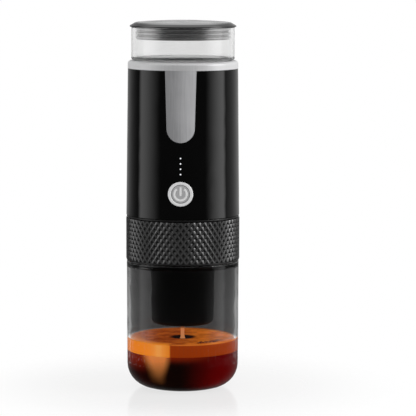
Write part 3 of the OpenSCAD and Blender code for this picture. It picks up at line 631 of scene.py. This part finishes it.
def keep_edges(part, angle):
    """Shades faces as one round surface unless they meet at more than an angle in degrees."""
    part.modifiers.new("keep_edges", "EDGE_SPLIT").split_angle = math.radians(angle)


def dress(node, finish):
    """Gives a CAD node its finish, and shades its small facets as one round surface."""
    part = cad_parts[node]
    for slot in part.material_slots:
        slot.material = finish
    for name in ("custom_normal", "sharp_edge", "sharp_face"):
        if name in part.data.attributes:
            part.data.attributes.remove(part.data.attributes[name])
    part.modifiers.new("join_faces", "WELD").merge_threshold = WELD_REACH
    keep_edges(part, 28)
    part.modifiers.new("flat_faces", "WEIGHTED_NORMAL")


for finish, nodes in CAD_FINISHES.items():
    for node in nodes:
        dress(node, finish())


# Fine pieces

def piece(name, points, faces, finish, body):
    """New mesh that rides on a body, or on none."""
    mesh = bpy.data.meshes.new(name)
    mesh.from_pydata([tuple(p) for p in points], [], faces)
    mesh.update()
    for face in mesh.polygons:
        face.use_smooth = True
    mesh.materials.append(finish)
    part = bpy.data.objects.new(name, mesh)
    bpy.context.scene.collection.objects.link(part)
    if body:
        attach(part, body)
    return part


def around(radius, bearing, z):
    """Point at a bearing in degrees from the front."""
    angle = math.radians(bearing)
    return (radius * math.sin(angle), -radius * math.cos(angle), z)


def lathe(outline, steps):
    """Points and faces of a closed outline of (r, z) turned about the axis; r = 0 at either end."""
    points = []
    rings = []
    for r, z in outline:
        if r < 1e-7:
            rings.append([len(points)] * steps)
            points.append((0, 0, z))
        else:
            rings.append([len(points) + i for i in range(steps)])
            points += [around(r, 360 * i / steps, z) for i in range(steps)]
    faces = []
    for low, high in zip(rings, rings[1:]):
        for i in range(steps):
            j = (i + 1) % steps
            corners = [low[i], low[j], high[j], high[i]]
            faces.append([c for k, c in enumerate(corners) if c != corners[k - 1]])
    return points, faces


def tube(start, rings, sides):
    """Faces between rings of points, counted from a start, and over the two ends."""
    faces = []
    for n in range(rings - 1):
        for s in range(sides):
            a = start + n * sides + s
            b = start + n * sides + (s + 1) % sides
            faces.append((a, a + sides, b + sides, b))
    faces.append([start + s for s in range(sides)])
    faces.append([start + (rings - 1) * sides + s for s in reversed(range(sides))])
    return faces


GRIP_COLUMNS = 60
GRIP_ROWS = 5
GRIP_DEPTH = 0.7 * MM
GRIP_WALL = 1.8 * MM
GRIP_SEAM = 90      # degrees from the front to the first ridge
RIDGE_SHARE = 0.1   # width of a crest, as a share of the way to the next


def grip_net():
    """The grip band with rounded ridges: four steps to each half diamond, both ways."""
    low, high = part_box("grip_band")
    outer = high.x
    bore = outer - GRIP_WALL
    steps = 4
    round_steps = 2 * GRIP_COLUMNS * steps
    up_steps = 2 * GRIP_ROWS * steps
    bearings = [GRIP_SEAM + 360 * i / round_steps for i in range(round_steps)]
    points = []
    for k in range(up_steps + 1):
        for i in range(round_steps):
            across = (i + k) / (2 * steps)
            along = (i - k) / (2 * steps)
            off_ridge = 2 * min(abs(across - round(across)), abs(along - round(along)))
            pit = GRIP_DEPTH * max(off_ridge - RIDGE_SHARE, 0) / (1 - RIDGE_SHARE)
            z = low.z + (high.z - low.z) * k / up_steps
            points.append(around(outer - pit, bearings[i], z))
    faces = []
    for k in range(up_steps):
        for i in range(round_steps):
            a = k * round_steps + i
            b = k * round_steps + (i + 1) % round_steps
            c, d = b + round_steps, a + round_steps
            if (i // steps + k // steps) % 2 == 0:
                faces += [(a, b, c), (a, c, d)]
            else:
                faces += [(a, b, d), (b, c, d)]
    last = up_steps * round_steps
    first_inner = len(points)
    for z in (low.z, high.z):
        points += [around(bore, bearing, z) for bearing in bearings]
    for i in range(round_steps):
        j = (i + 1) % round_steps
        low_in = (first_inner + i, first_inner + j)
        high_in = (low_in[0] + round_steps, low_in[1] + round_steps)
        faces.append((low_in[1], low_in[0], high_in[0], high_in[1]))
        faces.append((low_in[0], low_in[1], j, i))
        faces.append((high_in[1], high_in[0], last + i, last + j))
    net = piece("grip_net", points, faces, grip_rubber(), "chamber")
    keep_edges(net, 14)
    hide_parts("grip_band")


STROKE_PROFILE = [(-1, 0), (-0.86, 0.7), (-0.5, 1), (0.5, 1), (0.86, 0.7), (1, 0)]


def raised_stroke(path, half_width, height, face_y):
    """Points of a rounded bar along a path of (x, z) on a face that looks to -Y."""
    points = []
    for n, (x, z) in enumerate(path):
        before = path[max(n - 1, 0)]
        after = path[min(n + 1, len(path) - 1)]
        along = Vector((after[0] - before[0], after[1] - before[1])).normalized()
        across = Vector((-along.y, along.x))
        for side, rise in STROKE_PROFILE:
            off_path = across * side * half_width
            points.append((x + off_path.x, face_y - rise * height, z + off_path.y))
    return points


def power_sign():
    """Broken ring and bar, raised on the button's cap."""
    low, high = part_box("button_cap")
    middle_z = (low.z + high.z) / 2
    half_width = 0.66 * MM
    height = 0.22 * MM
    ring_r = 3.95 * MM
    half_gap = math.radians(36)
    bar_top = 4.5 * MM
    bar_length = 5.6 * MM
    sink = 0.03 * MM
    angles = [half_gap + 2 * (math.pi - half_gap) * i / 48 for i in range(49)]
    ring = [(ring_r * math.sin(a), middle_z + ring_r * math.cos(a)) for a in angles]
    bar = [(0, middle_z + bar_top - bar_length * i / 8) for i in range(9)]
    points = []
    faces = []
    for path in (ring, bar):
        faces += tube(len(points), len(path), len(STROKE_PROFILE))
        points += raised_stroke(path, half_width, height, low.y + sink)
    keep_edges(piece("power_sign", points, faces, sign_silver(), "button"), 50)


def screw_thread(name, radius, low, high, lead, finish, body):
    """Four ridges that wind up a neck, each with a tapered start and end."""
    starts = 4
    height = 0.24 * MM
    half_base = 0.8 * MM
    half_crest = 0.35 * MM
    sink = 0.05 * MM
    taper = 0.125   # share of a ridge's length
    steps = 72
    profile = [(-half_base, -sink), (-half_crest, height), (half_crest, height), (half_base, -sink)]
    climb = high - low - 2 * half_base
    points = []
    faces = []
    for start in range(starts):
        faces += tube(len(points), steps + 1, len(profile))
        for n in range(steps + 1):
            share = n / steps
            bearing = 360 * start / starts + 360 * climb / lead * share
            z = low + half_base + climb * share
            size = min(1, share / taper, (1 - share) / taper)
            for dz, out in profile:
                reach = out if out < 0 else -sink + (out + sink) * size
                points.append(around(radius + reach, bearing, z + dz))
    keep_edges(piece(name, points, faces, finish, body), 20)


def coil_spring(name, node, turns):
    """Round wire in the place of a plain coil, from the housing at its foot to a body that moves."""
    low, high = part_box(node)
    wire_r = 0.4 * MM
    first_bearing = 90
    sides = 10
    steps = 32 * turns
    rise = high.z - low.z - 2 * wire_r
    points = []
    for n in range(steps + 1):
        bearing = first_bearing + 360 * turns * n / steps
        for s in range(sides):
            lean = 2 * math.pi * s / sides
            points.append(around(
                high.x - wire_r + wire_r * math.cos(lean), bearing,
                low.z + wire_r + rise * n / steps + wire_r * math.sin(lean)))
    spring = piece(name, points, tube(0, steps + 1, sides), spring_wire(), None)
    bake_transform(spring)
    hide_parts(node)


# Coffee in the cup

# Inside of the cup: floor, round corner and leaning wall
CUP_FLOOR = 3.0 * MM
CORNER_R = 13.3 * MM
CORNER_Z = CUP_FLOOR + CORNER_R
CORNER_MIDDLE_R = 20.62 * MM
WALL_LEAN = 0.4 / 83.2
WALL_BITE = 0.05 * MM   # how far the contents reach into the wall that they wet


def cup_inside_r(z):
    """Radius that the contents fill at a height: they wet the wall, a little inside its face."""
    if z >= CORNER_Z:
        return CORNER_MIDDLE_R + CORNER_R + WALL_BITE + (z - CORNER_Z) * WALL_LEAN
    drop = CORNER_Z - z
    round_r = CORNER_R + WALL_BITE
    return CORNER_MIDDLE_R + math.sqrt(max(round_r * round_r - drop * drop, 0))


def coffee():
    """Coffee that fills the cup's foot, up to the foam."""
    floor = CUP_FLOOR - WALL_BITE
    outline = [(0, floor), (CORNER_MIDDLE_R * 0.5, floor)]
    for n in range(25):
        angle = math.radians(90 * n / 24)
        z = CORNER_Z - (CORNER_R + WALL_BITE) * math.cos(angle)
        outline.append((cup_inside_r(z), z))
    outline += [(cup_inside_r(COFFEE_TOP), COFFEE_TOP), (0, COFFEE_TOP)]
    points, faces = lathe(outline, 192)
    piece("coffee", points, faces, coffee_dark(), "cup")


def crema():
    """Layer of foam with a dip where the stream falls in and a lip that climbs the wall."""
    bottom = COFFEE_TOP + 0.02 * MM
    outline = [(0, bottom), (cup_inside_r(bottom), bottom)]
    lip = 0.5 * MM
    lip_reach = 0.8 * MM
    dip_depth = 1.6 * MM
    dip_r = 4.2 * MM
    for n in range(1, 9):
        z = bottom + (CREMA_TOP + lip - bottom) * n / 8
        outline.append((cup_inside_r(z), z))
    wall = cup_inside_r(CREMA_TOP)
    for n in range(1, 60):
        r = wall * (1 - n / 60)
        climb = lip * math.exp((r - wall) / lip_reach)
        dip = dip_depth * math.exp(-(r / dip_r) ** 2)
        outline.append((r, CREMA_TOP + climb - dip))
    outline.append((0, CREMA_TOP - dip_depth))
    points, faces = lathe(outline, 192)
    piece("crema", points, faces, crema_gold(), "cup")


def stream():
    """Thread of coffee that falls from the barrel, narrowing and then spreading into the foam."""
    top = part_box("brew_chamber")[0].z + 0.6 * MM
    foot = CREMA_TOP - 1.7 * MM
    outline = [(0, foot)]
    for n in range(33):
        share = n / 32
        z = foot + (top - foot) * share
        spread = 1.0 * MM * math.exp(-share * 9)
        neck = 1.12 * MM + 0.25 * MM * share ** 2
        outline.append((neck + spread, z))
    outline.append((0, top))
    points, faces = lathe(outline, 40)
    fall = piece("coffee_stream", points, faces, coffee_stream(), "cup")
    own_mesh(fall)


def bubbles():
    """Chain of small bubbles on the foam, from the front towards the wall on the right."""
    pick = random.Random(11)
    count, rows, columns = 34, 6, 12
    points = []
    faces = []
    for n in range(count):
        share = n / (count - 1)
        size = pick.uniform(0.7, 1.3) * MM
        bearing = 24 + 58 * share + pick.uniform(-1, 1)
        reach = (27.2 + 5.2 * share ** 2 + pick.uniform(-0.7, 0.7)) * MM
        middle = Vector(around(reach, bearing, CREMA_TOP + 0.1 * size))
        faces += [face[::-1] for face in tube(len(points), rows + 1, columns)]
        for k in range(rows + 1):
            rise = math.radians(-20 + 100 * k / rows)
            for i in range(columns):
                turn = 2 * math.pi * i / columns
                out = math.cos(rise)
                points.append(middle + size * Vector((
                    out * math.cos(turn), out * math.sin(turn), 0.8 * math.sin(rise))))
    piece("crema_bubbles", points, faces, foam_bubble(), "cup")


grip_net()
power_sign()
screw_thread(
    "tank_thread", radius=31.0 * MM, lead=12 * MM,
    low=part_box("water_tank")[0].z + 1.0 * MM, high=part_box("collar")[1].z - 0.4 * MM,
    finish=clear_plastic(), body="tank")
screw_thread(
    "head_thread", radius=32.4 * MM, lead=15 * MM,
    low=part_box("brew_head")[0].z + 1.2 * MM, high=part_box("outer_sleeve")[0].z - 1.6 * MM,
    finish=matt_black(), body="housing")
coil_spring("plunger_coil", "plunger_spring", turns=6)
coil_spring("valve_coil", "valve_spring", turns=3)
coffee()
crema()
stream()
bubbles()


# Studio: floor, sky, lamps and camera

FLOOR_R = 0.15
FLOOR_PLAIN_R = 0.055   # where the floor starts to fade out
FLOOR_WHITE = 0.73      # share of plain white in what is seen of it; the rest takes the shadow


def studio_floor():
    """Pale round of floor, half polished, that fades out before it meets the sky."""
    steps = 96
    mesh = bpy.data.meshes.new("studio_floor")
    mesh.from_pydata(
        [around(FLOOR_R, 360 * n / steps, 0) for n in range(steps)], [], [list(range(steps))])
    floor = bpy.data.objects.new("studio_floor", mesh)
    floor.location.z = -0.05 * MM
    bpy.context.scene.collection.objects.link(floor)
    paper = bpy.data.materials.new("studio_paper")
    paper.use_nodes = True
    b = Bench(paper.node_tree)
    outwards = b.radius().ramp(FLOOR_PLAIN_R / MM, FLOOR_R / MM)
    white = b.add("ShaderNodeEmission", {}, {"Color": grey(1), "Strength": 1.0})
    matt = b.add("ShaderNodeBsdfDiffuse", {}, {"Color": grey(0.9)})
    polish = b.add("ShaderNodeBsdfGlossy", {}, {"Color": grey(1), "Roughness": 0.12})
    clear = b.add("ShaderNodeBsdfTransparent")
    shaded = b.add("ShaderNodeMixShader", {}, {0: 0.5, 1: matt, 2: polish})
    whiteness = seen_as_backdrop(b) * FLOOR_WHITE
    pale = b.add("ShaderNodeMixShader", {}, {0: whiteness, 1: shaded, 2: white})
    unseen = outwards.most(ray_kind(b, "Is Glossy Ray"))
    b.finish(b.add("ShaderNodeMixShader", {}, {0: unseen, 1: pale, 2: clear}))
    mesh.materials.append(paper)


def ray_kind(b, name):
    return b.add("ShaderNodeLightPath", out=name)


def seen_as_backdrop(b):
    """One for rays that look at the backdrop: from the camera, in a reflection or through glass."""
    rays = [ray_kind(b, name) for name in ("Is Camera Ray", "Is Glossy Ray", "Is Transmission Ray")]
    return rays[0].most(rays[1]).most(rays[2])


FILL = 0.55         # light from all round
DARK_FRONT = 0.03   # the room before the object, in reflections
DIM_FRONT = 0.12    # the same, through glass
SIDE_GLOW = 0.31    # how much the sides gain towards the back, in reflections
RIGHT_GLOW = 0.16   # what the right side has over the left one
ROOF = 0.95         # what is overhead, in reflections


def studio_sky():
    """White behind the object, for the camera, in reflections and through glass; dim before it."""
    world = bpy.data.worlds.new("studio_sky")
    world.use_nodes = True
    b = Bench(world.node_tree)
    heading = b.add("ShaderNodeTexCoord", out="Generated")
    aside, behind, above = [
        b.add("ShaderNodeSeparateXYZ", {}, {0: heading}, out=n) for n in range(3)]
    direct = ray_kind(b, "Is Camera Ray")
    glossy = ray_kind(b, "Is Glossy Ray")
    through = ray_kind(b, "Is Transmission Ray")
    far_wall = behind.ramp(0.94, 0.995)
    right = aside.ramp(0, 0.5) * behind.ramp(0.1, 0.3) * above.ramp(-0.13, -0.10)
    sides = DARK_FRONT + behind.ramp(-0.1, 0.95) ** 2 * SIDE_GLOW
    side_wall = sides * above.ramp(-0.14, -0.10, 0.4, 1) + right * RIGHT_GLOW
    reflected = side_wall.most(far_wall).most(above.ramp(0.4, 0.8, 0, ROOF))
    shown = behind.ramp(-0.75, -0.15, DIM_FRONT, 1)
    level = FILL + glossy * (reflected - FILL)
    level = level + through * (shown - level)
    level = level + direct * (1 - level)
    b.finish(
        b.add("ShaderNodeBackground", {}, {"Color": grey(1), "Strength": level}),
        "ShaderNodeOutputWorld")
    bpy.context.scene.world = world


def lamp(name, place, target, width, height, radiance):
    """Rectangular lamp that faces a point and is seen in reflections only."""
    data = bpy.data.lights.new(name, "AREA")
    data.shape = "RECTANGLE"
    data.size = width
    data.size_y = height
    data.energy = radiance * math.pi * width * height
    panel = bpy.data.objects.new(name, data)
    panel.location = place
    panel.rotation_euler = (place - target).to_track_quat("Z", "Y").to_euler()
    panel.visible_camera = False
    panel.visible_transmission = False
    bpy.context.scene.collection.objects.link(panel)
    return data


FADE = 0.78         # how far across a lamp wall its brightest part lies
FOOT_GLOW = 0.42    # light of its foot below the floor's level, which shows on the cup


def lamp_wall(name, near, far, radiance, low=-0.075, high=0.62, distance=0.72):
    """Tall lamp between two bearings, dark at the near one and brightest towards the far one."""
    ends = [Vector(around(distance, bearing + CAMERA_BEARING, 0)) for bearing in (near, far)]
    middle = (ends[0] + ends[1]) / 2
    middle.z = (low + high) / 2
    data = lamp(
        name, middle, Vector((0, 0, middle.z)), (ends[1] - ends[0]).length, high - low, radiance)
    data.use_nodes = True
    b = Bench(data.node_tree)
    on_lamp = b.add("ShaderNodeNewGeometry", out="Parametric")
    share, up = [b.add("ShaderNodeSeparateXYZ", {}, {0: on_lamp}, out=n) for n in range(2)]
    rise = up * (high - low) + low
    if near < 0:
        share = 1 - share
    above_floor = rise.ramp(-0.004, 0)
    foot = (1 - above_floor) * share.ramp(0.35, 0.8) * FOOT_GLOW
    strength = share.ramp(1.0, FADE) * (above_floor * share.ramp(0.0, 0.75) + foot)
    b.finish(
        b.add("ShaderNodeEmission", {}, {"Color": grey(1), "Strength": strength}),
        "ShaderNodeOutputLight")


def key_lamp(bearing, elevation, distance, width, height, radiance):
    """Bright lamp high on one side."""
    rise = math.radians(elevation)
    target = Vector((0, 0, 0.1))
    away = Vector(around(math.cos(rise), bearing + CAMERA_BEARING, math.sin(rise)))
    lamp("key_lamp", target + away * distance, target, width, height, radiance)


IMAGE_SIDE = 416
FOCAL_PIXELS = 2400
SENSOR = 36                 # mm
CAMERA_ELEVATION = 6.4      # degrees, like the next two
CAMERA_BEARING = 2.4
CAMERA_ROLL = 0.14
CAMERA_DISTANCE = 1.56
AXIS_POINT = Vector((0, 0, 0.118))
AXIS_PIXEL = (182.85, 206.1)    # where that point falls in the picture


def camera():
    """Camera where the photograph's one stood, turned so that the axis point falls on its pixel."""
    tilt = math.radians(CAMERA_ELEVATION)
    towards = Vector(around(math.cos(tilt), CAMERA_BEARING, math.sin(tilt)))
    data = bpy.data.cameras.new("camera")
    data.sensor_width = SENSOR
    data.lens = SENSOR * FOCAL_PIXELS / IMAGE_SIDE
    data.clip_start = 0.05
    data.clip_end = 50
    eye = bpy.data.objects.new("camera", data)
    eye.location = AXIS_POINT + towards * CAMERA_DISTANCE
    right = Vector(around(1, CAMERA_BEARING + 90, 0))
    up = right.cross(-towards)
    pixel = CAMERA_DISTANCE / FOCAL_PIXELS
    aside = (IMAGE_SIDE / 2 - AXIS_PIXEL[0]) * pixel
    down = (IMAGE_SIDE / 2 - AXIS_PIXEL[1]) * pixel
    aim = AXIS_POINT + right * aside - up * down
    level = (eye.location - aim).to_track_quat("Z", "Y")
    roll = Quaternion((0, 0, 1), math.radians(CAMERA_ROLL))
    eye.rotation_euler = (level @ roll).to_euler()
    bpy.context.scene.collection.objects.link(eye)
    bpy.context.scene.camera = eye


studio_floor()
studio_sky()
lamp_wall("left_lamp", near=-44, far=-103, radiance=1.2)
lamp_wall("right_lamp", near=44, far=98.5, radiance=1.58)
key_lamp(bearing=75, elevation=26, distance=0.95, width=0.30, height=0.26, radiance=8)
camera()
bpy.context.scene.view_settings.view_transform = "Standard"
